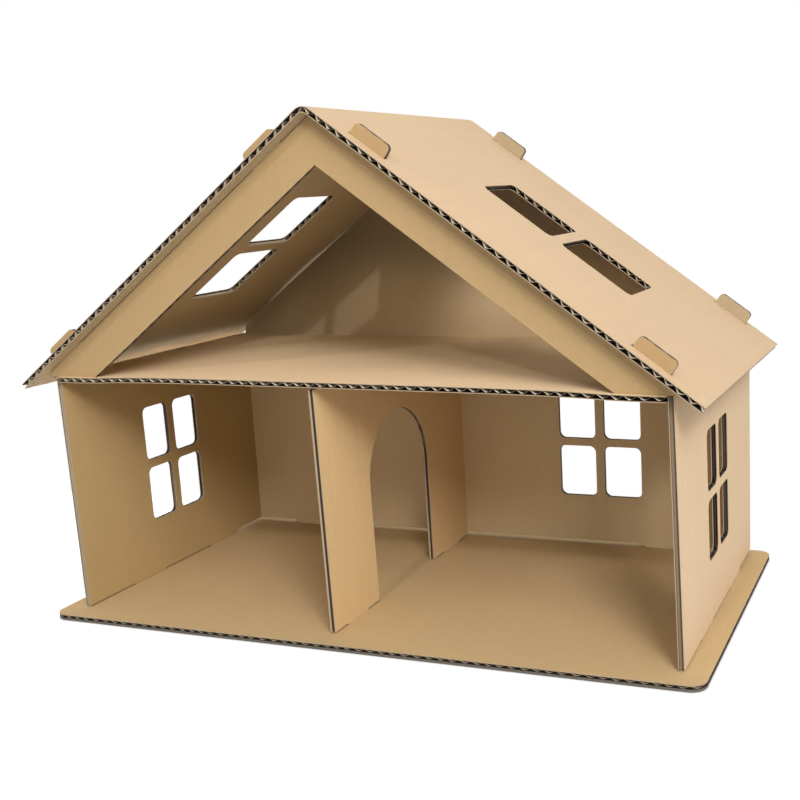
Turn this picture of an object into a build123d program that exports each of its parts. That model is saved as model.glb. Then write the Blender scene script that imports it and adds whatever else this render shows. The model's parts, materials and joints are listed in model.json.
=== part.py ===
"""Slot-together cardboard house: cut panels of single-wall corrugated board under a roof folded once."""
import math
import os

from build123d import *

os.makedirs("parts", exist_ok=True)

# Board
board = 3.0
liner = 0.35
medium = 0.35
flute_pitch = 6.4

# Body
room_span = 343.0
wall_depth = 188.0
wall_height = 133.6
back_inset = 3.0
floor_nose = 2.7
partition_share = -0.0358
foot_lift = 1.2
foot_land = 3.0
edge_groove = 2.0

# Base plate
base_side_margin = 12.0
base_apron = 14.2
base_rear_margin = 3.0
base_corner = 8.0

# Roof
roof_pitch = 36.5
eave_gap = 4.85
eave_overhang = 16.2
roof_front_overhang = 9.4
roof_back_overhang = 2.3
ridge_radius = 3.5
gable_gap = 0.6

# Gable frame
rafter_width = 20.0
frame_toe = 3.0
frame_nose = 0.5

# Windows and doorway
pane_width = 23.6
pane_height = 32.6
pane_corner = 4.0
mullion = 5.5
transom = 4.8
side_window_height = 68.1
back_window_height = 66.7
back_window_share = 0.2405
roof_window = 45.0
roof_window_corner = 4.0
roof_window_shares = (0.3971, 0.6158)
arch_radius = 37.7
arch_spring = 66.4
arch_share = 0.489

# Tabs and slots
foot_tab = 30.0
leg_tab = 24.0
side_tab_share = 0.207
back_tab_share = 0.3644
floor_tab = 30.0
roof_tab = 21.5
roof_tab_rise = 6.8
roof_tab_root = 8.0
roof_tab_corner = 2.5
roof_tab_shares = (0.15, 0.8626)
slot_end_gap = 0.6
slot_side_gap = 0.15

# Places that follow from the sizes above
body_half = room_span / 2 + board
base_width = 2 * (body_half + base_side_margin)
base_depth = base_apron + wall_depth + base_rear_margin
floor_level = board + wall_height
wall_front = base_apron - base_depth / 2
wall_back = wall_front + wall_depth
back_face = wall_back - back_inset - board
floor_front = wall_front - floor_nose
frame_front = wall_front - frame_nose
room_depth = back_face - wall_front
room_middle = wall_front + room_depth / 2
wall_middle = wall_front + wall_depth / 2
partition_middle = partition_share * room_span
arch_middle = wall_front + arch_share * room_depth
rise = math.tan(math.radians(roof_pitch))
run_cos = math.cos(math.radians(roof_pitch))
run_sin = math.sin(math.radians(roof_pitch))
apex_under = floor_level + eave_gap + rise * body_half
apex_top = apex_under + board / run_cos
slope_length = (body_half + eave_overhang) / run_cos
roof_tab_places = [share * slope_length for share in roof_tab_shares]
roof_window_places = [share * slope_length for share in roof_window_shares]
roof_front = wall_front - roof_front_overhang
roof_back = wall_back + roof_back_overhang
side_tab_places = [wall_middle + side * side_tab_share * wall_depth for side in (-1, 1)]
back_tab_places = [side * back_tab_share * room_span for side in (-1, 1)]
leg_places = ((wall_front + arch_middle - arch_radius) / 2, (back_face + arch_middle + arch_radius) / 2)
core = board - 2 * liner


def rectangle(low_u, low_v, high_u, high_v):
    """Flat rectangle between two corners of the drawing plane."""
    return Pos((low_u + high_u) / 2, (low_v + high_v) / 2) * Rectangle(high_u - low_u, high_v - low_v)


def across_x(face, start):
    """Board cut to a Y-Z drawing, its left face at the given X."""
    return extrude(Plane.YZ.offset(start) * face, amount=board)


def across_y(face, start):
    """Board cut to an X-Z drawing, its front face at the given Y."""
    return extrude(Plane.XZ.offset(-start - board) * face, amount=board)


def across_z(face, start):
    """Board cut to an X-Y drawing, its lower face at the given Z."""
    return extrude(Plane.XY.offset(start) * face, amount=board)


def everywhere(middle):
    """Choice of all the channels of a panel."""
    return True


def channels(plane, span, run, chosen=everywhere):
    """Air channels of the fluted medium: triangles in turn up and down, side by side across the span."""
    count = round(span / flute_pitch)
    pitch = span / count
    lean = math.atan2(core, pitch / 2)
    half = pitch / 2 - medium / 2 / math.sin(lean)
    tall = half * math.tan(lean)
    cells = Sketch()
    for step in range(2 * count + 1):
        middle = (step - count) * pitch / 2
        if not chosen(middle):
            continue
        foot = -core / 2 if step % 2 == 0 else core / 2
        tip = foot + tall if step % 2 == 0 else foot - tall
        cells += make_face(Polyline((middle - half, foot), (middle + half, foot), (middle, tip), close=True))
    return extrude(plane * cells, amount=run)


def level_channels(level, span, start, run):
    """Channels along Y in a level panel."""
    plane = Plane(origin=(0, start, level + board / 2), x_dir=(1, 0, 0), z_dir=(0, 1, 0))
    return channels(plane, span, run)


def slope_channels():
    """Channels along Y in the right-hand slope, from beside the fold to the eave, shut before each tab slot."""
    fold = (ridge_radius + board) * rise + flute_pitch / 2
    span = slope_length - fold
    along = fold + span / 2
    down = board / 2
    place_x = along * run_cos - down * run_sin
    place_z = apex_top - along * run_sin - down * run_cos
    reach = roof_tab / 2 + slot_end_gap + flute_pitch / 2
    shut = slot_side_gap + liner

    def meets_slot(middle):
        return any(abs(along + middle - place) < reach for place in roof_tab_places)

    def clear_of_slots(middle):
        return not meets_slot(middle)

    runs = ((roof_front, roof_back, clear_of_slots), (roof_front, frame_front - shut, meets_slot),
            (back_face + board + shut, roof_back, meets_slot))
    cuts = []
    for start, end, chosen in runs:
        plane = Plane(origin=(place_x, start, place_z), x_dir=(run_cos, 0, -run_sin), z_dir=(0, 1, 0))
        cuts += channels(plane, span, end - start, chosen)
    return Part(children=cuts)


def edge_grooves(middle, edges):
    """Gaps between the liners along the upright edges of a wall that runs front to back."""
    tall = wall_height
    cuts = [Pos(middle, edge, board + tall / 2) * Box(core, 2 * edge_groove, tall) for edge in edges]
    return cuts


def window(middle_u, middle_v):
    """Two by two panes with round corners, with a mullion and a transom between them."""
    places = GridLocations(pane_width + mullion, pane_height + transom, 2, 2)
    panes = places * RectangleRounded(pane_width, pane_height, pane_corner)
    return Pos(middle_u, middle_v) * Sketch(children=panes)


def foot_tabs(places, length):
    """Tabs that reach down through the base plate."""
    return [rectangle(place - length / 2, 0, place + length / 2, board) for place in places]


def roof_tabs():
    """Round-cornered tabs square to both slopes, from inside the gable to above the roof."""
    tall = roof_tab_root + board + roof_tab_rise
    middle = roof_tab_rise - tall / 2
    tabs = []
    for place in roof_tab_places:
        tab = Pos(place, middle) * RectangleRounded(roof_tab, tall, roof_tab_corner)
        right = Pos(0, apex_top) * Rot(0, 0, -roof_pitch) * tab
        tabs += [right, mirror(right, about=Plane.YZ)]
    return tabs


def under_roof(gap):
    """Area below the underside of the folded roof, lowered by a gap measured square to the slopes."""
    peak = apex_under - gap / run_cos
    reach = body_half + eave_gap / rise
    line = FilletPolyline((-reach, peak - rise * reach), (0, peak), (reach, peak - rise * reach),
                          radius=ridge_radius)
    return make_face(line + Polyline(line @ 1, (reach, 0), (-reach, 0), line @ 0))


def base_plate():
    """Round-cornered plate with a slot for every foot tab."""
    plate = RectangleRounded(base_width, base_depth, base_corner)
    wide = board + 2 * slot_side_gap
    for side in (-1, 1):
        for place in side_tab_places:
            plate -= Pos(side * (body_half - board / 2), place) * Rectangle(wide, foot_tab + 2 * slot_end_gap)
    for place in back_tab_places:
        plate -= Pos(place, back_face + board / 2) * Rectangle(foot_tab + 2 * slot_end_gap, wide)
    for place in leg_places:
        plate -= Pos(partition_middle, place) * Rectangle(wide, leg_tab + 2 * slot_end_gap)
    return across_z(plate, 0) - level_channels(0, base_width, -base_depth / 2, base_depth)


def side_wall(side):
    """Side wall with a window, foot tabs, notches for the attic floor and a raised heel."""
    sheet = rectangle(wall_front, board, wall_back, floor_level)
    heel = side_tab_places[1] + foot_tab / 2 + foot_land
    sheet -= rectangle(heel, board, wall_back, board + foot_lift)
    for place in side_tab_places:
        notch = floor_tab / 2 + slot_end_gap
        sheet -= rectangle(place - notch, floor_level - board, place + notch, floor_level)
    sheet += foot_tabs(side_tab_places, foot_tab)
    sheet -= window(room_middle, board + side_window_height)
    middle = side * (body_half - board / 2)
    return across_x(sheet, middle - board / 2) - edge_grooves(middle, (wall_front, wall_back))


def back_wall():
    """Back wall and gable in one sheet, with a window, foot tabs, a raised foot and roof tabs."""
    sheet = rectangle(-room_span / 2, board + foot_lift, room_span / 2, apex_under) & under_roof(gable_gap)
    for place in back_tab_places:
        land = foot_tab / 2 + foot_land
        sheet += rectangle(place - land, board, place + land, floor_level)
    sheet += foot_tabs(back_tab_places, foot_tab)
    sheet += roof_tabs()
    sheet -= window(back_window_share * room_span, board + back_window_height)
    return across_y(sheet, back_face)


def partition_wall():
    """Wall between the rooms with an arched doorway and a foot tab on each leg."""
    sheet = rectangle(wall_front, board, back_face, floor_level - board)
    spring = board + arch_spring
    sheet -= rectangle(arch_middle - arch_radius, board, arch_middle + arch_radius, spring)
    sheet -= Pos(arch_middle, spring) * Circle(arch_radius)
    sheet += foot_tabs(leg_places, leg_tab)
    return across_x(sheet, partition_middle - board / 2) - edge_grooves(partition_middle, [wall_front])


def attic_floor():
    """Floor between the side walls, its tabs resting in their notches."""
    sheet = rectangle(-room_span / 2, floor_front, room_span / 2, back_face)
    for place in side_tab_places:
        sheet += Pos(0, place) * Rectangle(2 * body_half, floor_tab)
    lower = floor_level - board
    return across_z(sheet, lower) - level_channels(lower, room_span, floor_front, back_face - floor_front)


def front_gable_frame():
    """Two rafters cut as one sheet, open in the middle, with blunt toes on the side walls."""
    toe = body_half + frame_toe
    sheet = rectangle(-toe, floor_level, toe, apex_under) & under_roof(0)
    inner_peak = apex_under - rafter_width / run_cos
    inner_half = (inner_peak - floor_level) / rise
    corners = ((-inner_half, floor_level), (0, inner_peak), (inner_half, floor_level))
    sheet -= make_face(Polyline(*corners, close=True))
    sheet += roof_tabs()
    return across_y(sheet, frame_front)


def roof_section():
    """Folded sheet seen from the front: a round ridge and square-cut eaves."""
    reach = slope_length * run_cos
    drop = slope_length * run_sin
    eave_in = board * run_sin
    eave_down = board * run_cos
    outer = FilletPolyline((-reach, apex_top - drop), (0, apex_top), (reach, apex_top - drop),
                           radius=ridge_radius + board)
    inner = FilletPolyline((eave_in - reach, apex_top - drop - eave_down), (0, apex_under),
                           (reach - eave_in, apex_top - drop - eave_down), radius=ridge_radius)
    ends = Line(outer @ 0, inner @ 0) + Line(outer @ 1, inner @ 1)
    return make_face(outer + inner + ends)


def slope_cuts():
    """Windows and tab slots through the right-hand slope."""
    slope = Plane(origin=(0, 0, apex_top), x_dir=(run_cos, 0, -run_sin), z_dir=(run_sin, 0, run_cos))
    cuts = Sketch()
    for place in roof_window_places:
        pane = RectangleRounded(roof_window, roof_window, roof_window_corner)
        cuts += Pos(place, wall_middle) * pane
    for place in roof_tab_places:
        for sheet_front in (frame_front, back_face):
            slot = Rectangle(roof_tab + 2 * slot_end_gap, board + 2 * slot_side_gap)
            cuts += Pos(place, sheet_front + board / 2) * slot
    return extrude(slope * cuts, amount=board, both=True)


def roof():
    """Roof sheet with two windows and four tab slots on each slope."""
    sheet = extrude(Plane.XZ.offset(-roof_back) * roof_section(), amount=roof_back - roof_front)
    for right in (slope_cuts(), slope_channels()):
        sheet -= right
        sheet -= mirror(right, about=Plane.YZ)
    return sheet


pieces = {
    "base_plate": base_plate(),
    "left_wall": side_wall(-1),
    "right_wall": side_wall(1),
    "back_wall": back_wall(),
    "partition_wall": partition_wall(),
    "attic_floor": attic_floor(),
    "front_gable_frame": front_gable_frame(),
    "roof": roof(),
}
for name, piece in pieces.items():
    export_step(piece, f"parts/{name}.step")
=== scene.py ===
"""Slot-together cardboard house: fluted panels, folded roof, kraft paper finish and a white studio."""
import json
import math

import bpy
import numpy as np
from bpy.props import FloatProperty, FloatVectorProperty, IntProperty, PointerProperty
from mathutils import Matrix, Vector

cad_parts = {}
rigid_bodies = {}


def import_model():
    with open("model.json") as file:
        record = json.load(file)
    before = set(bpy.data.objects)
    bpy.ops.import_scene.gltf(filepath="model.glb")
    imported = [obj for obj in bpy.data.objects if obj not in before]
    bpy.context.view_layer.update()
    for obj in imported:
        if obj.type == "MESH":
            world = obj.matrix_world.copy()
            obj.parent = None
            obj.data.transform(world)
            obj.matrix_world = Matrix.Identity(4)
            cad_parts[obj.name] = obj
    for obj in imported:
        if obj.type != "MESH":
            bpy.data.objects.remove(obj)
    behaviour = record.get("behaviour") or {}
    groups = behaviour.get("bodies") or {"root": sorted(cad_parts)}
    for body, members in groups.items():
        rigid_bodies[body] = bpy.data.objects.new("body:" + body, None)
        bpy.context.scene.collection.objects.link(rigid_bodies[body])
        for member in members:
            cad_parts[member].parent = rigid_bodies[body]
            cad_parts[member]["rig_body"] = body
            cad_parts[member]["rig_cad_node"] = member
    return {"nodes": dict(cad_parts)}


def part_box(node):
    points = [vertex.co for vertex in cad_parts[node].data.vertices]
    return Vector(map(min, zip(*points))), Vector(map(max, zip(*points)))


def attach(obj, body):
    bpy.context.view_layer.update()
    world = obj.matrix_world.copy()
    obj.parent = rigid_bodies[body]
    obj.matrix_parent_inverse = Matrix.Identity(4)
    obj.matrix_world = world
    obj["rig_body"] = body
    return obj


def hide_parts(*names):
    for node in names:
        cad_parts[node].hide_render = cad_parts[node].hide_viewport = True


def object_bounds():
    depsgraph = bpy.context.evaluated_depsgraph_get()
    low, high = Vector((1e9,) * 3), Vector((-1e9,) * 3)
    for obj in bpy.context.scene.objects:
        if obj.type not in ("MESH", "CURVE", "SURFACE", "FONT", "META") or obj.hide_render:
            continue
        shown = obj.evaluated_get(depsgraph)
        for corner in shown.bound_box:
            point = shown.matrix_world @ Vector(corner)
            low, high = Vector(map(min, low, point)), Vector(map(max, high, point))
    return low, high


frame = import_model()
CAD_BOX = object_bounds()

bl_info = {
    "name": "Cardboard House",
    "version": (1, 0, 0),
    "blender": (4, 5, 0),
    "location": "View3D > Sidebar > House",
    "description": "Dresses the panels of a slot-together cardboard house as fluted board",
    "category": "Add Mesh",
}

BASE_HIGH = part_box("base_plate")[1]
WALL_LOW, WALL_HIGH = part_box("left_wall")
ROOF_LOW, ROOF_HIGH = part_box("roof")
FLOOR_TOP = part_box("attic_floor")[1].z
AXES = {"X": Vector((1, 0, 0)), "Y": Vector((0, 1, 0)), "Z": Vector((0, 0, 1))}

# How close points count as one, or as lying on a face, on a roof slope or on the fold.
TOUCH = 1e-6
FACE_BAND, SLOPE_BAND, FOLD_BAND = 10 * TOUCH, 20 * TOUCH, 50 * TOUCH
# Angles up to which faces are one flat face or smooth, and the slant below which a face is a cut edge.
FLAT_ANGLE, SMOOTH_ANGLE = math.radians(1), math.radians(35)
EDGE_ON = 0.3
# Coarse and fine stray of the flutes in radians per metre, and the share of the fine one.
STRAY_COARSE, STRAY_FINE, FINE_SHARE = 71, 223, 0.6
# How far the paper's pattern moves along the flutes for each step that it moves across them.
RUN_SHARE = 0.37

# Round corners of the base plate, height of the raised feet, and the band that counts as a foot's edge.
BASE_CORNER = 0.008
FOOT_RAISE, FOOT_BAND = 0.0012, 0.0004
# Height over which the joint above the gable frame opens.
FRAME_FOOT = 0.02
# Where the lean ends behind and in front of the walls, in depths of the house from the back.
LEAN_BACK_END, LEAN_FRONT_END = -0.05, 1.1
# How flat the attic floor's crown is across the middle, and where it ends, in half depths from there.
CROWN_POWER, CROWN_END = 6, 1.1
# Place and width of the left slope's rise, and the share of that slope past which its eave droops.
BULGE_X, BULGE_WIDTH = -0.127, 0.032
DROOP_FROM = 0.62

# Scales of the paper's patterns per metre, and their stretch across and along the flutes.
FIBRE_SCALE, PULP_SCALE, CLOUD_SCALE, STREAK_SCALE, SPECK_SCALE = 1500.0, 420.0, 11.0, 190.0, 260.0
FIBRE_STRETCH, STREAK_STRETCH, SPECK_STRETCH = (1.0, 0.16, 1.0), (1.0, 0.035, 0.2), (1.0, 0.45, 1.0)
# Weight of each pattern in the tone, the relief and the roughness.
FIBRE_TONE, PULP_TONE, CLOUD_TONE, STREAK_TONE, WASH_TONE = 0.3, 0.28, 0.26, 0.14, 0.01
FIBRE_RELIEF, PULP_RELIEF, WASH_RELIEF = 0.5, 0.35, 0.1
ROUGH, PULP_ROUGH = 0.86, 0.08
# Darkest tone, lightest tone and flecks, in shares of the paper's colour.
DARK, LIGHT, DEEP = 0.80, 1.17, 0.55
# Size of a fleck's core and rim, and how strong it is.
FLECK_CORE, FLECK_RIM, FLECK_SHARE = 0.05, 0.11, 0.22
# Sheen of the paper, and the strength and depth of its relief.
GLOSS, RELIEF, RELIEF_DEPTH = 0.28, 0.35, 0.00012
# Fluted paper and inner sides of the liners in the upright panels, both dark as painted shade in the board's
# cut edges.
UPRIGHT = ("shade", "hollow")
# Heights, and places from left to right, over which painted shade darkens the inside of the attic's back wall
# towards the ridge and the left.
PAINTED_SHADE_FROM_Z, PAINTED_SHADE_TO_Z = 0.15, 0.207
PAINTED_SHADE_FROM_X, PAINTED_SHADE_TO_X = -0.13, -0.05
# Levels of that painted shade: slightly lighter just over the attic floor, darkest at the ridge, darker at
# the left, and a fixed darker tone on the tabs above the roof.
PAINTED_FLOOR_LEVEL, PAINTED_RIDGE_SHADE, PAINTED_LEFT_SHADE, TAB_TONE = 1.06, 0.45, 0.66, 0.65

# Width and grey of the floor, and the glow that the camera sees outside the base plate.
FLOOR_WIDTH, FLOOR_GREY = 12, 0.6
GLOW, GLOW_SHARE = 1.05, 0.92
GLOW_START, GLOW_FULL = -0.0006, 0.0008
# Place of the lamp over the table, the width of its cone and how soft the rim is.
TABLE_LAMP_PLACE, TABLE_LAMP_CONE, TABLE_LAMP_BLEND = (-0.32, 0.05, 1.0), math.radians(14), 0.3
# Sensor width of the camera in millimetres, and the nearest distance that it sees.
SENSOR, CLIP_START = 36, 0.01
WHITE = (1, 1, 1, 1)
BLACK = (0, 0, 0, 1)


class BoardSettings(bpy.types.PropertyGroup):
    """Make-up of the corrugated board."""
    board: FloatProperty(name="Board", description="Thickness of the whole board", default=0.003,
                         unit="LENGTH")
    liner: FloatProperty(name="Liner", description="Thickness of each outer paper", default=0.00038,
                         unit="LENGTH")
    medium: FloatProperty(name="Medium", description="Thickness of the fluted paper", default=0.00034,
                          unit="LENGTH")
    pitch: FloatProperty(name="Flute pitch", description="Length of one wave", default=0.0064, unit="LENGTH")
    steps: IntProperty(name="Wave steps", description="Faces along one wave", default=8, min=4)
    strip: FloatProperty(name="Strip", description="Width of the strips that let a panel bow", default=0.012,
                         unit="LENGTH")
    backing: FloatProperty(name="Backing", default=0.00108, unit="LENGTH",
                           description="Thickness of the thick paper of the base plate and the partition")
    wobble: FloatProperty(name="Flute wobble", description="How far a wave strays along the board",
                          default=0.0006, unit="LENGTH")


class RoofSettings(bpy.types.PropertyGroup):
    """Fold of the roof sheet."""
    pitch: FloatProperty(name="Roof pitch", description="Slope of each half", default=math.radians(36.5),
                         subtype="ANGLE")
    ridge: FloatProperty(name="Ridge radius", description="Inside radius of the fold", default=0.0035,
                         unit="LENGTH")
    ridge_strips: IntProperty(name="Ridge strips", description="Strips round the fold", default=10, min=2)


class SettleSettings(bpy.types.PropertyGroup):
    """Small leans and bows of the standing house."""
    lean_front: FloatProperty(name="Front lean", description="How far the wall tops lean left at the front",
                              default=0.0022, unit="LENGTH")
    lean_back: FloatProperty(name="Back lean", description="How far the wall tops lean right at the back",
                             default=0.0006, unit="LENGTH")
    lean_out: FloatProperty(name="Forward lean", description="How far the wall tops lean to the front",
                            default=0.001, unit="LENGTH")
    roll: FloatProperty(name="Roll", description="Drop of the upper house to the right", default=0.0109,
                        subtype="ANGLE")
    crown: FloatProperty(name="Crown", description="Rise of the attic floor's free front edge",
                         default=0.0014, unit="LENGTH")
    crown_half: FloatProperty(name="Crown half width", description="Half of the width that rises",
                              default=0.148, unit="LENGTH")
    droop: FloatProperty(name="Eave droop", description="Drop of the left eave at the back", default=0.003,
                         unit="LENGTH")
    lift: FloatProperty(name="Roof lift", description="Rise of the left slope over the back gable",
                        default=0.0022, unit="LENGTH")
    heel: FloatProperty(name="Heel lift", description="More rise of the raised wall feet", default=0.0011,
                        unit="LENGTH")
    foot: FloatProperty(name="Foot gap", description="Joint under the feet of the walls", default=0.0008,
                        unit="LENGTH")
    joint: FloatProperty(name="Roof joint", description="Joint between the gable frame and the roof",
                         default=0.0005, unit="LENGTH")


class FinishSettings(bpy.types.PropertyGroup):
    """Colours of the kraft papers."""
    roof: FloatVectorProperty(name="Roof liner", description="Paper on the roof", subtype="COLOR",
                              default=(0.54, 0.387, 0.238), min=0, max=1)
    outer: FloatVectorProperty(name="Outer liner", description="Paper outside the walls", subtype="COLOR",
                               default=(0.68, 0.495, 0.312), min=0, max=1)
    room: FloatVectorProperty(name="Room liner", subtype="COLOR", default=(0.45, 0.309, 0.139), min=0, max=1,
                              description="Paper inside the side walls, over the rooms and behind the frame")
    divide: FloatVectorProperty(name="Partition liner", description="Paper on the partition", subtype="COLOR",
                                default=(0.685, 0.468, 0.235), min=0, max=1)
    base: FloatVectorProperty(name="Base liner", description="Paper on the base plate", subtype="COLOR",
                              default=(0.498, 0.347, 0.174), min=0, max=1)
    # Painted shadow: the dark cut edge of the base plate's thick lower paper stands for the shadow gap under
    # its front edge.
    backing: FloatVectorProperty(name="Backing", description="Cut edge of the base plate's lower paper",
                                 subtype="COLOR", default=(0.125, 0.107, 0.086), min=0, max=1)
    under: FloatVectorProperty(name="Roof lining", description="Paper under the roof", subtype="COLOR",
                               default=(0.472, 0.362, 0.215), min=0, max=1)
    back: FloatVectorProperty(name="Back liner", description="Paper inside the back wall",
                              subtype="COLOR", default=(0.615, 0.46, 0.273), min=0, max=1)
    attic: FloatVectorProperty(name="Attic liner", description="Paper on the attic floor", subtype="COLOR",
                               default=(0.765, 0.56, 0.335), min=0, max=1)
    gable: FloatVectorProperty(name="Gable liner", description="Paper on the front gable frame",
                               subtype="COLOR", default=(0.392, 0.262, 0.123), min=0, max=1)
    cut: FloatVectorProperty(name="Cut edge", description="Cut edge of the papers", subtype="COLOR",
                             default=(0.38, 0.285, 0.185), min=0, max=1)
    medium: FloatVectorProperty(name="Medium", description="Fluted paper of the attic floor and the roof",
                                subtype="COLOR", default=(0.80, 0.66, 0.48), min=0, max=1)
    # core, shade and hollow are dark finishes: painted shade in the flute cells and at the cut edges of the
    # board.
    core: FloatVectorProperty(name="Core", description="Inner side of the liners of the other panels",
                              subtype="COLOR", default=(0.03, 0.022, 0.014), min=0, max=1)
    shade: FloatVectorProperty(name="Wall medium", description="Fluted paper of most upright panels",
                               subtype="COLOR", default=(0.26, 0.19, 0.12), min=0, max=1)
    hollow: FloatVectorProperty(name="Wall core", description="Inner side of the liners of upright panels",
                                subtype="COLOR", default=(0.105, 0.078, 0.052), min=0, max=1)
    edge: FloatVectorProperty(name="Edge medium", description="Fluted paper of the base and the left wall",
                              subtype="COLOR", default=(0.34, 0.275, 0.20), min=0, max=1)
    # Painted shade: a darker inside for the right wall's board past its first wave, round its windows.
    deep: FloatVectorProperty(name="Deep core", description="Inside of the right wall round its windows",
                              subtype="COLOR", default=(0.055, 0.042, 0.03), min=0, max=1)


class StageSettings(bpy.types.PropertyGroup):
    """Camera, lamps and floor."""
    place: FloatVectorProperty(name="Camera", description="Place of the camera", subtype="TRANSLATION",
                               default=(0.288666, -0.598949, 0.230617))
    yaw: FloatProperty(name="Yaw", description="Turn to the left", default=0.3915, subtype="ANGLE")
    dip: FloatProperty(name="Dip", description="Tilt below the horizon", default=0.1794, subtype="ANGLE")
    bank: FloatProperty(name="Bank", description="Roll about the view line", default=0.0498, subtype="ANGLE")
    focal: FloatProperty(name="Focal length", description="In widths of the picture", default=1.4646825)
    shift: FloatProperty(name="Shift", description="Sideways shift in widths of the picture", default=-0.1)
    sky: FloatProperty(name="Sky", description="Strength of the even light", default=0.66)
    sky_front: FloatProperty(name="Sky in front", description="Strength added in front and taken off behind",
                             default=0.08)
    key: FloatProperty(name="Key lamp", description="Power of the soft lamp at the front right", default=23.0,
                       unit="POWER")
    side: FloatProperty(name="Side lamp", description="Power of the higher lamp at the right", default=4.0,
                        unit="POWER")
    front: FloatProperty(name="Front lamp", description="Power of the small lamp in front", default=5.5,
                         unit="POWER")
    back: FloatProperty(name="Back lamp", description="Power of the soft lamp behind", default=4.0,
                        unit="POWER")
    table: FloatProperty(name="Table lamp", description="Power of the lamp over the table at the left",
                         default=320.0, unit="POWER")
    drop: FloatProperty(name="Table drop", description="Shadow gap between the base and the table",
                        default=0.0005, unit="LENGTH")


class Paint:
    """One output of a shader node, with sums that add Math nodes."""

    def __init__(self, tree, output=None):
        self.tree = tree
        self.output = output

    def node(self, kind, settings=None, sockets=None, output=0):
        """A node of a kind with its settings and sockets, as one of its outputs."""
        made = self.tree.nodes.new(kind)
        for name, value in (settings or {}).items():
            setattr(made, name, value)
        for name, value in (sockets or {}).items():
            if isinstance(value, Paint):
                self.tree.links.new(value.output, made.inputs[name])
            else:
                made.inputs[name].default_value = value
        return Paint(self.tree, made.outputs[output])

    def sum(self, operation, first, second):
        """A Math node on two values."""
        return self.node("ShaderNodeMath", {"operation": operation}, {0: first, 1: second})

    def __add__(self, other):
        return self.sum("ADD", self, other)

    def __radd__(self, other):
        return self.sum("ADD", other, self)

    def __sub__(self, other):
        return self.sum("SUBTRACT", self, other)

    def __rsub__(self, other):
        return self.sum("SUBTRACT", other, self)

    def __mul__(self, other):
        return self.sum("MULTIPLY", self, other)

    def __rmul__(self, other):
        return self.sum("MULTIPLY", other, self)


def select_only(*objects):
    """Selects these objects alone, the first of them active."""
    bpy.ops.object.select_all(action="DESELECT")
    for item in objects:
        item.select_set(True)
    bpy.context.view_layer.objects.active = objects[0]


def copy_of(item, name):
    """Copy of an object with its own mesh."""
    select_only(item)
    bpy.ops.object.duplicate()
    made = bpy.context.active_object
    made.name = name
    return made


def points(item):
    """Vertex places of a mesh object as rows."""
    places = np.zeros(len(item.data.vertices) * 3, np.float32)
    item.data.vertices.foreach_get("co", places)
    return places.reshape(-1, 3).astype(float)


def move_points(item, places):
    """Gives every vertex a new place."""
    item.data.vertices.foreach_set("co", places.astype(np.float32).ravel())
    item.data.update()


def keep_faces(item, wanted):
    """Deletes every face but the wanted ones."""
    item.data.polygons.foreach_set("select", np.logical_not(wanted))
    bpy.ops.object.mode_set(mode="EDIT")
    bpy.ops.mesh.delete(type="FACE")
    bpy.ops.object.mode_set(mode="OBJECT")


def merged_copy(node, name):
    """Copy of a CAD node with its loose triangles joined, free of the frame."""
    made = copy_of(frame["nodes"][node], name)
    made.parent = None
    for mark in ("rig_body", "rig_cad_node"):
        del made[mark]
    bpy.ops.object.mode_set(mode="EDIT")
    bpy.ops.mesh.select_mode(type="FACE")
    bpy.ops.mesh.select_all(action="SELECT")
    bpy.ops.mesh.remove_doubles(threshold=TOUCH)
    bpy.ops.object.mode_set(mode="OBJECT")
    made.data.materials.clear()
    return made


def triangles_within(item, within):
    """Marks the triangles of a mesh whose corners all lie within a marked set of points."""
    corners = np.zeros(len(item.data.loops), np.int32)
    item.data.loops.foreach_get("vertex_index", corners)
    return within[corners.reshape(-1, 3)].all(1)


def join_triangles(item):
    """Joins the flat triangles of a sheet into large faces."""
    bpy.ops.object.mode_set(mode="EDIT")
    bpy.ops.mesh.select_all(action="SELECT")
    bpy.ops.mesh.dissolve_limited(angle_limit=FLAT_ANGLE)
    bpy.ops.object.mode_set(mode="OBJECT")


def flat_place(node, along, flute):
    """Matrix from flat sheet places, flutes along the second axis, to a standing panel."""
    low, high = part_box(node)
    side, run = AXES[along], AXES[flute]
    turn = Matrix((side, run, side.cross(run))).transposed()
    return Matrix.Translation((low + high) / 2) @ turn.to_4x4()


def flat_outline(node, place):
    """Outline of a flat panel, on the face of the board that looks along the third axis."""
    half = bpy.context.scene.house_board.board / 2
    sheet = merged_copy(node, node + "_outline")
    sheet.data.transform(place.inverted())
    keep_faces(sheet, triangles_within(sheet, np.abs(points(sheet)[:, 2] - half) < FACE_BAND))
    join_triangles(sheet)
    return sheet


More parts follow.
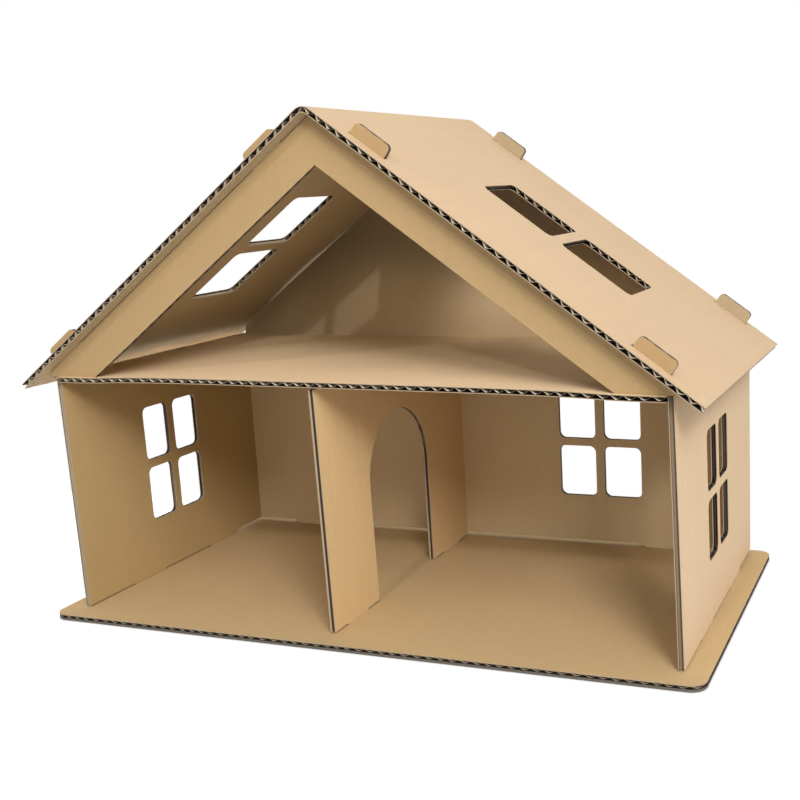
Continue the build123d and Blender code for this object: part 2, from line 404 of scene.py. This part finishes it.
class Fold:
    """The roof's fold: flat sheet places to the standing roof and back."""

    def __init__(self):
        roof, half = bpy.context.scene.house_roof, bpy.context.scene.house_board.board / 2
        self.half = half
        self.slope = roof.pitch
        self.radius = roof.ridge + half
        self.arc = 2 * self.slope * self.radius
        self.tangent = (roof.ridge + 2 * half) * math.tan(self.slope)
        self.top = ROOF_HIGH.z + (roof.ridge + 2 * half) * (1 / math.cos(self.slope) - 1)
        self.centre = ROOF_HIGH.z - roof.ridge - 2 * half
        self.middle = (ROOF_LOW.y + ROOF_HIGH.y) / 2

    def open_out(self, places):
        """Places on the outer faces of the standing roof, laid flat."""
        away = np.abs(places[:, 0]) * math.cos(self.slope) + (self.top - places[:, 2]) * math.sin(self.slope)
        flat = np.sign(places[:, 0]) * (away - self.tangent + self.arc / 2)
        return np.stack([flat, places[:, 1] - self.middle, np.full(len(places), self.half)], 1)

    def stand_up(self, places):
        """Flat places folded to the standing roof."""
        bent = np.clip(places[:, 0], -self.arc / 2, self.arc / 2)
        past = np.abs(places[:, 0] - bent)
        angle = bent / self.radius
        reach = self.radius + places[:, 2]
        side = np.sign(places[:, 0])
        x = reach * np.sin(angle) + side * past * np.cos(angle)
        z = self.centre + reach * np.cos(angle) - past * np.abs(np.sin(angle))
        return np.stack([x, places[:, 1] + self.middle, z], 1)


def roof_outline(fold):
    """Outline of the roof sheet laid flat, its two halves joined across the fold."""
    sheet = merged_copy("roof", "roof_outline")
    places = points(sheet)
    depth = np.abs(places[:, 0]) * math.sin(fold.slope) + (places[:, 2] - fold.top) * math.cos(fold.slope)
    keep_faces(sheet, triangles_within(sheet, np.abs(depth) < SLOPE_BAND))
    move_points(sheet, fold.open_out(points(sheet)))
    join_triangles(sheet)
    at_fold = np.abs(np.abs(points(sheet)[:, 0]) - fold.arc / 2) < FOLD_BAND
    if at_fold.sum() != 4:
        raise RuntimeError(f"the roof's fold has {at_fold.sum()} corners in place of 4")
    bpy.ops.object.mode_set(mode="EDIT")
    bpy.ops.mesh.select_mode(type="VERT")
    bpy.ops.mesh.select_all(action="DESELECT")
    bpy.ops.object.mode_set(mode="OBJECT")
    sheet.data.vertices.foreach_set("select", at_fold)
    bpy.ops.object.mode_set(mode="EDIT")
    bpy.ops.mesh.edge_face_add()
    bpy.ops.mesh.select_mode(type="FACE")
    bpy.ops.mesh.select_all(action="SELECT")
    bpy.ops.mesh.normals_make_consistent(inside=False)
    bpy.ops.object.mode_set(mode="OBJECT")
    if sheet.data.polygons[0].normal.z < 0:
        flip(sheet)
    return sheet


def flip(item):
    """Turns every face of a mesh round."""
    select_only(item)
    bpy.ops.object.mode_set(mode="EDIT")
    bpy.ops.mesh.select_all(action="SELECT")
    bpy.ops.mesh.flip_normals()
    bpy.ops.object.mode_set(mode="OBJECT")


def even_lines(low, high, spacing):
    """Evenly spaced lines across a span, with a little to spare at both ends."""
    count = math.ceil((high - low) / spacing) + 2
    middle = (low + high) / 2
    return middle + spacing * (np.arange(count + 1) - count / 2)


def apply_modifier(item, kind, **settings):
    """Adds a modifier with its settings and applies it."""
    select_only(item)
    bpy.ops.object.modifier_add(type=kind)
    modifier = item.modifiers[-1]
    for name, value in settings.items():
        setattr(modifier, name, value)
    bpy.ops.object.modifier_apply(modifier=modifier.name)


def trimming_block(outline):
    """Block over a sheet's outline, twice as thick as the board."""
    board = bpy.context.scene.house_board.board
    block = copy_of(outline, outline.name + "_block")
    block.data.transform(Matrix.Translation((0, 0, board / 2)))
    apply_modifier(block, "SOLIDIFY", thickness=2 * board, offset=-1)
    return block


def layer(name, block, columns, rows, heights, thickness, finishes, inward=0):
    """One paper of the board: a grid with a height at each column, trimmed to the outline.

    The finishes are those of its faces, of its cut edges and of the side that looks inward.
    """
    bpy.ops.object.select_all(action="DESELECT")
    bpy.ops.mesh.primitive_grid_add(x_subdivisions=len(columns) - 1, y_subdivisions=len(rows) - 1, size=1)
    paper = bpy.context.active_object
    paper.name = name
    grid = points(paper) + 0.5
    column = np.rint(grid[:, 0] * (len(columns) - 1)).astype(int)
    row = np.rint(grid[:, 1] * (len(rows) - 1)).astype(int)
    move_points(paper, np.stack([columns[column], rows[row], heights[column]], 1))
    apply_modifier(paper, "SOLIDIFY", thickness=thickness, offset=0)
    apply_modifier(paper, "BOOLEAN", operation="INTERSECT", object=block, solver="EXACT")
    paper.data.materials.clear()
    for finish in finishes:
        paper.data.materials.append(finish_of(finish))
    normals = np.zeros(len(paper.data.polygons) * 3, np.float32)
    paper.data.polygons.foreach_get("normal", normals)
    facing = normals.reshape(-1, 3)[:, 2]
    sides = np.where(np.abs(facing) < EDGE_ON, 1, np.where(facing * inward > EDGE_ON, 2, 0))
    paper.data.polygons.foreach_set("material_index", sides.astype(np.int32))
    return paper


def flute_wave(columns, edge, phase):
    """Fluted paper at each column, from -1 to 1: a crest at one edge, and waves that stray a little."""
    board = bpy.context.scene.house_board

    def strayed(places):
        coarse = np.sin(places * STRAY_COARSE + phase)
        fine = np.sin(places * STRAY_FINE + 2 * phase)
        return places + board.wobble * (coarse + FINE_SHARE * fine)

    return np.cos(2 * math.pi * (strayed(columns) - strayed(edge)) / board.pitch)


def settle(places):
    """The whole house's small lean, none at the base plate and full from the wall tops up."""
    lean = bpy.context.scene.house_settle
    rise = np.clip((places[:, 2] - BASE_HIGH.z) / (FLOOR_TOP - BASE_HIGH.z), 0, 1)
    front = (WALL_HIGH.y - places[:, 1]) / (WALL_HIGH.y - WALL_LOW.y)
    front = np.clip(front, LEAN_BACK_END, LEAN_FRONT_END)
    moved = places.copy()
    moved[:, 0] -= rise * (lean.lean_front * front - lean.lean_back * (1 - front))
    moved[:, 1] -= rise * lean.lean_out
    moved[:, 2] -= rise * lean.roll * places[:, 0]
    return moved


def paint_shade_inside(panel, start, inside, deep):
    """Paints shade on the inside of a board: a darker finish past a line across its flutes."""
    slots = [finish_of(name).name for name in inside]
    panel.data.materials.append(finish_of(deep))
    for face in panel.data.polygons:
        if face.center.x > start and panel.data.materials[face.material_index].name in slots:
            face.material_index = len(panel.data.materials) - 1


def fluted_panel(name, outline, stand, faces, phase, crest=("low", 1), inside=("medium", "core"), deep=None,
                 backing=None, extra=()):
    """Finished panel: two liners and the fluted paper between them, stood in place.

    faces names the finishes of the front and back liners, and phase sets how the waves stray. crest is the
    edge where the first wave starts, and the side it starts on. inside names the finishes of the fluted paper
    and of the liners' inner sides, the latter dark as painted shade in the cells, deep a darker
    painted shade past the first wave, and backing the cut edge of a thick back liner. extra adds lines to the
    liners.
    """
    board = bpy.context.scene.house_board
    edge, side = crest
    flute, core = inside
    under, under_cut = (board.liner, "cut") if backing is None else (board.backing, backing)
    block = trimming_block(outline)
    places = points(outline)
    low, high = places.min(0), places.max(0)
    strips = np.sort(np.append(even_lines(low[0], high[0], board.strip), extra))
    flutes = even_lines(low[0], high[0], board.pitch / board.steps)
    rows = even_lines(low[1], high[1], board.strip)
    top = np.full(len(strips), (board.board - board.liner) / 2)
    bottom = np.full(len(strips), (under - board.board) / 2)
    swing = (board.board - board.liner - under - board.medium) / 2
    start = low[0] if edge == "low" else high[0]
    wave = (under - board.liner) / 2 + side * swing * flute_wave(flutes, start, phase)
    papers = [
        layer(name + "_front", block, strips, rows, top, board.liner, (faces[0], "cut", core), -1),
        layer(name + "_back", block, strips, rows, bottom, under, (faces[1], under_cut, core), 1),
        layer(name + "_flutes", block, flutes, rows[::2], wave, board.medium, (flute, core)),
    ]
    for used in (block, outline):
        bpy.data.objects.remove(used)
    select_only(*papers)
    bpy.ops.object.join()
    panel = bpy.context.active_object
    panel.name = name
    panel.data.name = name
    if deep is not None:
        paint_shade_inside(panel, low[0] + board.pitch, inside, deep)
    flat = points(panel)
    mark = panel.data.attributes.new("flat", "FLOAT_VECTOR", "POINT")
    pattern = flat + np.array([phase, RUN_SHARE * phase, 0])
    mark.data.foreach_set("vector", pattern.astype(np.float32).ravel())
    move_points(panel, settle(stand(flat)))
    select_only(panel)
    bpy.ops.object.shade_smooth_by_angle(angle=SMOOTH_ANGLE)
    return panel


def floor_crown(places):
    """Rise of the attic floor towards its free front edge, none where the rafters stand on it."""
    bow = bpy.context.scene.house_settle
    middle = (WALL_LOW.y + WALL_HIGH.y) / 2
    front = np.clip((middle - places[:, 1]) / (middle - WALL_LOW.y), 0, CROWN_END)
    across = np.clip(np.abs(places[:, 0]) / bow.crown_half, 0, 1)
    return bow.crown * front ** 2 * (1 - across ** CROWN_POWER)


def foot_lift(places):
    """Rise of a wall's lower edges: a fine joint on the base plate, and more where the foot is raised."""
    bow = bpy.context.scene.house_settle
    above = places[:, 2] - BASE_HIGH.z
    standing = np.abs(above) < FOOT_BAND
    raised = np.abs(above - FOOT_RAISE) < FOOT_BAND
    return bow.foot * standing + bow.heel * raised


def frame_joint(places):
    """Drop of the gable frame below the roof, none where it stands on the attic floor."""
    bow = bpy.context.scene.house_settle
    return -bow.joint * np.clip((places[:, 2] - FLOOR_TOP) / FRAME_FOOT, 0, 1)


def roof_bow(places):
    """Droop of the roof's left eave at the back, and the rise of that slope over the gable."""
    bow = bpy.context.scene.house_settle
    back = np.clip(places[:, 1] / WALL_HIGH.y, 0, 1) ** 2
    out = np.clip(places[:, 0] / ROOF_LOW.x, 0, 1)
    eave = np.clip((out - DROOP_FROM) / (1 - DROOP_FROM), 0, 1) ** 2
    bulge = np.exp(-((places[:, 0] - BULGE_X) / BULGE_WIDTH) ** 2)
    return back * (bow.lift * bulge - bow.droop * eave)


def seat(panel, node):
    """Puts a finished panel on the house in place of its solid."""
    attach(panel, "root")
    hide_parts(node)


def build_panel(node, along, flute, faces, phase, bow=None, **make):
    """One flat panel of the house, with its waves along one axis and its flutes along another."""
    place = flat_place(node, along, flute)
    turn = np.array(place)

    def stand(flat):
        stood = flat @ turn[:3, :3].T + turn[:3, 3]
        if bow is not None:
            stood[:, 2] += bow(stood)
        return stood

    panel = fluted_panel(node + "_board", flat_outline(node, place), stand, faces, phase, **make)
    seat(panel, node)


# Finishes made so far.
FINISHES = {}


def finish_of(name):
    """The kraft finish of that name, made once."""
    if name not in FINISHES:
        FINISHES[name] = kraft(name, getattr(bpy.context.scene.house_finish, name))
    return FINISHES[name]


def painted_attic_shade(start):
    """Painted shade on the back wall's inner paper: plain in the rooms, darker to the ridge and to the left
    in the attic, and darker on the tabs above the roof.
    """
    fold = Fold()
    place = start.node("ShaderNodeTexCoord", {}, {}, "Object")
    across = start.node("ShaderNodeSeparateXYZ", {}, {0: place}, "X")
    up = start.node("ShaderNodeSeparateXYZ", {}, {0: place}, "Z")
    soft = {"interpolation_type": "SMOOTHSTEP"}
    rise = start.node("ShaderNodeMapRange", soft, {
        "Value": up, "From Min": PAINTED_SHADE_FROM_Z, "From Max": PAINTED_SHADE_TO_Z, "To Min": PAINTED_FLOOR_LEVEL, "To Max": PAINTED_RIDGE_SHADE})
    side = start.node("ShaderNodeMapRange", soft, {
        "Value": across, "From Min": PAINTED_SHADE_FROM_X, "From Max": PAINTED_SHADE_TO_X, "To Min": PAINTED_LEFT_SHADE, "To Max": 1.0})
    above_floor = start.sum("GREATER_THAN", up, FLOOR_TOP)
    peak = up + math.tan(fold.slope) * start.sum("ABSOLUTE", across, 0.0)
    below_roof = start.sum("LESS_THAN", peak, fold.top - fold.half / math.cos(fold.slope))
    attic = TAB_TONE + below_roof * (rise * side - TAB_TONE)
    return 1.0 + above_floor * (attic - 1.0)


def kraft(name, colour):
    """Kraft paper: mottled pulp, fibres and streaks along the flutes, a faint washboard and dark flecks."""
    board = bpy.context.scene.house_board
    material = bpy.data.materials.new("kraft_" + name)
    material.use_nodes = True
    tree = material.node_tree
    shader = tree.nodes["Principled BSDF"]
    start = Paint(tree)
    flat = start.node("ShaderNodeAttribute", {"attribute_name": "flat"}, output="Vector")

    def stretched(scale):
        return start.node("ShaderNodeVectorMath", {"operation": "MULTIPLY"}, {0: flat, 1: scale})

    def noise(vector, scale, detail=2.0, roughness=0.5):
        sockets = {"Vector": vector, "Scale": scale, "Detail": detail, "Roughness": roughness}
        return start.node("ShaderNodeTexNoise", {}, sockets) - 0.5

    def mixed(factor, first, second, **settings):
        sockets = {"Factor": factor, "A": first, "B": second}
        return start.node("ShaderNodeMix", {"data_type": "RGBA", **settings}, sockets, "Result")

    def toned(share):
        return [min(1.0, share * part) for part in colour] + [1.0]

    fibre = noise(stretched(FIBRE_STRETCH), FIBRE_SCALE, detail=3.0, roughness=0.6)
    pulp = noise(flat, PULP_SCALE, detail=3.0, roughness=0.6)
    cloud = noise(flat, CLOUD_SCALE)
    streak = noise(stretched(STREAK_STRETCH), STREAK_SCALE)
    across = start.node("ShaderNodeSeparateXYZ", {}, {0: flat}, "X")
    wash = start.node("ShaderNodeMath", {"operation": "SINE"}, {0: across * (2 * math.pi / board.pitch)})
    tone = 0.5 + FIBRE_TONE * fibre + PULP_TONE * pulp + CLOUD_TONE * cloud
    tone = tone + STREAK_TONE * streak + WASH_TONE * wash
    paper = mixed(tone, toned(DARK), toned(LIGHT))
    cells = {"Vector": stretched(SPECK_STRETCH), "Scale": SPECK_SCALE}
    specks = start.node("ShaderNodeTexVoronoi", {}, cells, "Distance")
    fleck = start.node("ShaderNodeMapRange", {}, {
        "Value": specks, "From Min": FLECK_CORE, "From Max": FLECK_RIM, "To Min": FLECK_SHARE, "To Max": 0.0})
    finish = mixed(fleck, paper, toned(DEEP))
    # Painted shade: the back wall's inner paper darkens in the attic towards the ridge and the left.
    if name == "back":
        finish = mixed(painted_attic_shade(start), BLACK, finish, clamp_factor=False)
    tree.links.new(finish.output, shader.inputs["Base Color"])
    rough = ROUGH + PULP_ROUGH * pulp
    tree.links.new(rough.output, shader.inputs["Roughness"])
    shader.inputs["Specular IOR Level"].default_value = GLOSS
    height = FIBRE_RELIEF * fibre + PULP_RELIEF * pulp + WASH_RELIEF * wash
    bump = start.node("ShaderNodeBump", {}, {"Strength": RELIEF, "Distance": RELIEF_DEPTH, "Height": height})
    tree.links.new(bump.output, shader.inputs["Normal"])
    return material


class HOUSE_OT_base_plate(bpy.types.Operator):
    """Builds the base plate"""
    bl_idname = "house.base_plate"
    bl_label = "Base plate"

    def execute(self, context):
        # The base plate's lower paper carries a painted shadow on its cut edge.
        build_panel("base_plate", "X", "Y", ("base", "base"), phase=0.3, crest=("high", 1),
                    inside=("edge", "core"), backing="backing")
        return {"FINISHED"}


class HOUSE_OT_walls(bpy.types.Operator):
    """Builds the side walls, the back wall and the partition"""
    bl_idname = "house.walls"
    bl_label = "Walls"

    def execute(self, context):
        build_panel("left_wall", "Y", "Z", ("room", "outer"), phase=1.1, bow=foot_lift,
                    crest=("low", -1), inside=("edge", "hollow"))
        # The right wall's board gets painted shade inside, round its windows.
        build_panel("right_wall", "Y", "Z", ("outer", "room"), phase=2.2, bow=foot_lift,
                    crest=("low", -1), inside=UPRIGHT, deep="deep")
        build_panel("partition_wall", "Y", "Z", ("divide", "divide"), phase=3.3, bow=foot_lift,
                    inside=UPRIGHT, backing="cut")
        build_panel("back_wall", "X", "Z", ("back", "outer"), phase=4.4, bow=foot_lift, inside=UPRIGHT)
        return {"FINISHED"}


class HOUSE_OT_attic(bpy.types.Operator):
    """Builds the attic floor and the front gable frame"""
    bl_idname = "house.attic"
    bl_label = "Attic floor and gable frame"

    def execute(self, context):
        build_panel("attic_floor", "X", "Y", ("attic", "room"), phase=5.5, bow=floor_crown)
        build_panel("front_gable_frame", "X", "Z", ("gable", "room"), phase=6.6, bow=frame_joint,
                    inside=UPRIGHT)
        return {"FINISHED"}


class HOUSE_OT_roof(bpy.types.Operator):
    """Builds the folded roof"""
    bl_idname = "house.roof"
    bl_label = "Roof"

    def execute(self, context):
        fold = Fold()
        strips = context.scene.house_roof.ridge_strips
        extra = [fold.arc * (step / strips - 0.5) for step in range(strips + 1)]

        def stand(flat):
            stood = fold.stand_up(flat)
            stood[:, 2] += roof_bow(stood)
            return stood

        panel = fluted_panel("roof_board", roof_outline(fold), stand, ("roof", "under"), phase=7.7,
                             extra=extra)
        seat(panel, "roof")
        return {"FINISHED"}


def soft_lamp(name, bearing, rise, reach, size, power):
    """Square lamp at a bearing to the right of the front and a height angle, that looks at the house."""
    middle = (Vector(CAD_BOX[0]) + Vector(CAD_BOX[1])) / 2
    turn, lift = math.radians(bearing), math.radians(rise)
    towards = Vector((math.sin(turn) * math.cos(lift), -math.cos(turn) * math.cos(lift), math.sin(lift)))
    bpy.ops.object.light_add(type="AREA", location=middle + reach * towards)
    lamp = bpy.context.active_object
    lamp.name = name
    lamp.data.shape = "SQUARE"
    lamp.data.size = size
    lamp.data.energy = power
    lamp.rotation_euler = (-towards).to_track_quat("-Z", "Y").to_euler()


def table_lamp(power):
    """Lamp straight above the table at the left, clear of the house, for light that bounces up from there."""
    bpy.ops.object.light_add(type="SPOT", location=TABLE_LAMP_PLACE)
    lamp = bpy.context.active_object
    lamp.name = "table_lamp"
    lamp.data.energy = power
    lamp.data.spot_size = TABLE_LAMP_CONE
    lamp.data.spot_blend = TABLE_LAMP_BLEND


def shown_rays(start):
    """One for the rays that show a surface to the camera, plainly, in a gloss or through glass."""
    path = "ShaderNodeLightPath"
    kinds = ("Is Camera Ray", "Is Glossy Ray", "Is Transmission Ray")
    seen, glossy, through = (start.node(path, {}, {}, kind) for kind in kinds)
    return start.sum("MAXIMUM", seen, start.sum("MAXIMUM", glossy, through))


def white_sky(strength, front):
    """White light, brighter from the front, that the camera sees as plain white."""
    world = bpy.data.worlds.new("studio")
    bpy.context.scene.world = world
    world.use_nodes = True
    tree = world.node_tree
    start = Paint(tree)
    bearing = start.node("ShaderNodeTexCoord", {}, {}, "Generated")
    away = start.node("ShaderNodeSeparateXYZ", {}, {0: bearing}, "Y")
    light = strength - front * away
    shown = shown_rays(start)
    level = shown + (1.0 - shown) * light
    tree.links.new(level.output, tree.nodes["Background"].inputs["Strength"])
    tree.nodes["Background"].inputs["Color"].default_value = WHITE


def off_base(start):
    """Distance on the floor from the round-cornered outline of the base plate."""
    half = [BASE_HIGH.x - BASE_CORNER, BASE_HIGH.y - BASE_CORNER, 1.0]
    place = start.node("ShaderNodeTexCoord", {}, {}, "Object")
    side = start.node("ShaderNodeVectorMath", {"operation": "ABSOLUTE"}, {0: place})
    past = start.node("ShaderNodeVectorMath", {"operation": "SUBTRACT"}, {0: side, 1: half})
    out = start.node("ShaderNodeVectorMath", {"operation": "MAXIMUM"}, {0: past, 1: (0, 0, 0)})
    return start.node("ShaderNodeVectorMath", {"operation": "LENGTH"}, {0: out}, "Value") - BASE_CORNER


def white_floor(drop):
    """Pale floor that the camera sees as white with a light shadow, plain under the base plate."""
    bpy.ops.mesh.primitive_plane_add(size=FLOOR_WIDTH, location=(0, 0, -drop))
    floor = bpy.context.active_object
    floor.name = "studio_floor"
    material = bpy.data.materials.new("studio_floor")
    material.use_nodes = True
    tree = material.node_tree
    tree.nodes.clear()
    start = Paint(tree)
    matte = start.node("ShaderNodeBsdfDiffuse", {}, {"Color": (FLOOR_GREY, FLOOR_GREY, FLOOR_GREY, 1)})
    glow = start.node("ShaderNodeEmission", {}, {"Color": WHITE, "Strength": GLOW})
    open_floor = start.node("ShaderNodeMapRange", {}, {
        "Value": off_base(start), "From Min": GLOW_START, "From Max": GLOW_FULL, "To Min": 0.0,
        "To Max": GLOW_SHARE})
    mixed = start.node("ShaderNodeMixShader", {}, {0: shown_rays(start) * open_floor, 1: matte, 2: glow})
    output = tree.nodes.new("ShaderNodeOutputMaterial")
    tree.links.new(mixed.output, output.inputs["Surface"])
    floor.data.materials.append(material)


def set_camera(stage):
    """Camera at the photographer's place."""
    ahead = Vector((-math.sin(stage.yaw) * math.cos(stage.dip), math.cos(stage.yaw) * math.cos(stage.dip),
                    -math.sin(stage.dip)))
    level = Vector((math.cos(stage.yaw), math.sin(stage.yaw), 0))
    below = ahead.cross(level)
    right = math.cos(stage.bank) * level + math.sin(stage.bank) * below
    down = -math.sin(stage.bank) * level + math.cos(stage.bank) * below
    bpy.ops.object.camera_add(location=stage.place)
    camera = bpy.context.active_object
    turn = Matrix((right, -down, -ahead)).transposed()
    camera.matrix_world = Matrix.Translation(stage.place) @ turn.to_4x4()
    camera.data.sensor_width = SENSOR
    camera.data.lens = SENSOR * stage.focal
    camera.data.shift_x = stage.shift
    camera.data.clip_start = CLIP_START
    bpy.context.scene.camera = camera


class HOUSE_OT_stage(bpy.types.Operator):
    """Sets the floor, the lamps and the camera"""
    bl_idname = "house.stage"
    bl_label = "Stage"

    def execute(self, context):
        stage = context.scene.house_stage
        white_sky(stage.sky, stage.sky_front)
        white_floor(stage.drop)
        soft_lamp("key_lamp", bearing=35, rise=29, reach=2.0, size=0.5, power=stage.key)
        soft_lamp("side_lamp", bearing=45, rise=40, reach=1.3, size=0.4, power=stage.side)
        soft_lamp("front_lamp", bearing=2, rise=37.6, reach=2.0, size=0.06, power=stage.front)
        soft_lamp("back_lamp", bearing=180, rise=40, reach=2.0, size=0.9, power=stage.back)
        table_lamp(stage.table)
        set_camera(stage)
        context.scene.view_settings.view_transform = "Standard"
        return {"FINISHED"}


class HOUSE_PT_panel(bpy.types.Panel):
    """Builds the house piece by piece"""
    bl_idname = "HOUSE_PT_panel"
    bl_label = "Cardboard House"
    bl_space_type = "VIEW_3D"
    bl_region_type = "UI"
    bl_category = "House"

    def draw(self, context):
        for step in STEPS:
            self.layout.operator(step.bl_idname)
        for group in GROUPS:
            settings = getattr(context.scene, group)
            for name in settings.__annotations__:
                self.layout.prop(settings, name)


STEPS = (HOUSE_OT_base_plate, HOUSE_OT_walls, HOUSE_OT_attic, HOUSE_OT_roof, HOUSE_OT_stage)
GROUPS = {
    "house_board": BoardSettings,
    "house_roof": RoofSettings,
    "house_settle": SettleSettings,
    "house_finish": FinishSettings,
    "house_stage": StageSettings,
}


def register():
    """Adds the settings, the operators and the panel."""
    for group, settings in GROUPS.items():
        bpy.utils.register_class(settings)
        setattr(bpy.types.Scene, group, PointerProperty(type=settings))
    for item in (*STEPS, HOUSE_PT_panel):
        bpy.utils.register_class(item)


def unregister():
    """Takes the settings, the operators and the panel away."""
    for item in (HOUSE_PT_panel, *reversed(STEPS)):
        bpy.utils.unregister_class(item)
    for group, settings in GROUPS.items():
        delattr(bpy.types.Scene, group)
        bpy.utils.unregister_class(settings)


def main():
    """Builds the house and its stage."""
    register()
    bpy.ops.house.base_plate()
    bpy.ops.house.walls()
    bpy.ops.house.attic()
    bpy.ops.house.roof()
    bpy.ops.house.stage()


if __name__ == "__main__":
    main()
